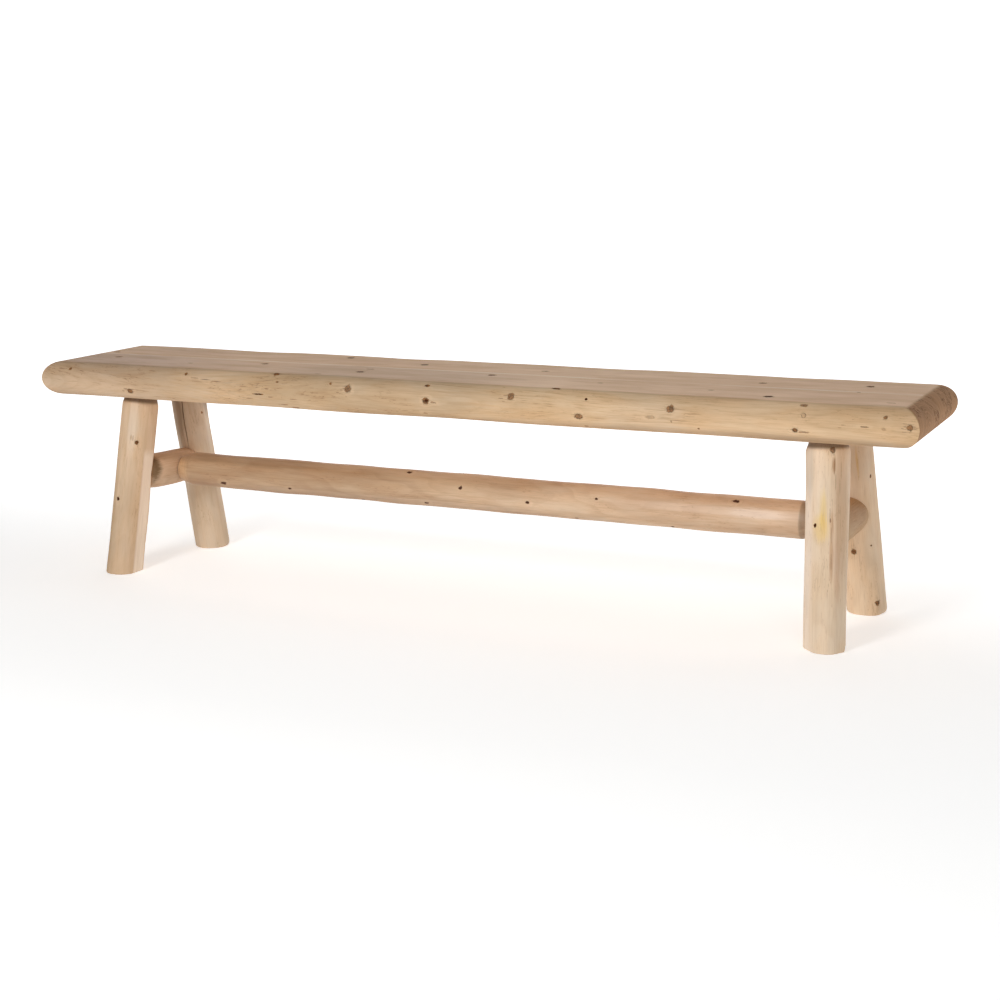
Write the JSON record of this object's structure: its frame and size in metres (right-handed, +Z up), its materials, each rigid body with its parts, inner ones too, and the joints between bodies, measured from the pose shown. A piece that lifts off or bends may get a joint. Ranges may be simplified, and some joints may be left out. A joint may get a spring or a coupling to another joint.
{
  "type": "rustic log bench",
  "caption": "Backless rustic bench: planed seat logs with rounded edges on splayed log legs, coped cross logs and a long stretcher log.",
  "frame": {"origin": "on the floor, under the middle of the overall box", "axes": "+X along the bench, to the right seen from the front; +Y to the back; +Z up"},
  "size_m": [1.83, 0.3641, 0.442],
  "materials": {
    "seat_front_wood": "planed top, peeled and sanded round side, bare pale softwood",
    "seat_rear_wood": "planed top, peeled and sanded round side, bare pale softwood",
    "dowel_wood": "smooth hardwood dowel",
    "leg_front_left_wood": "peeled and sanded log, bare pale softwood",
    "leg_front_right_wood": "peeled and sanded log, bare pale softwood",
    "leg_rear_left_wood": "peeled and sanded log with a drying check, bare softwood",
    "leg_rear_right_wood": "peeled and sanded log, bare pale softwood",
    "cross_log_wood": "peeled and sanded log, bare softwood",
    "stretcher_wood": "peeled and sanded log, bare softwood"
  },
  "bodies": {
    "root": {"seat_front_log": "seat_front_wood", "seat_rear_log": "seat_rear_wood", "seat_dowels": "dowel_wood", "leg_front_left": "leg_front_left_wood", "leg_front_right": "leg_front_right_wood", "leg_rear_left": "leg_rear_left_wood", "leg_rear_right": "leg_rear_right_wood", "cross_log_left": "cross_log_wood", "cross_log_right": "cross_log_wood", "stretcher_log": "stretcher_wood"}
  },
  "joints": []
}
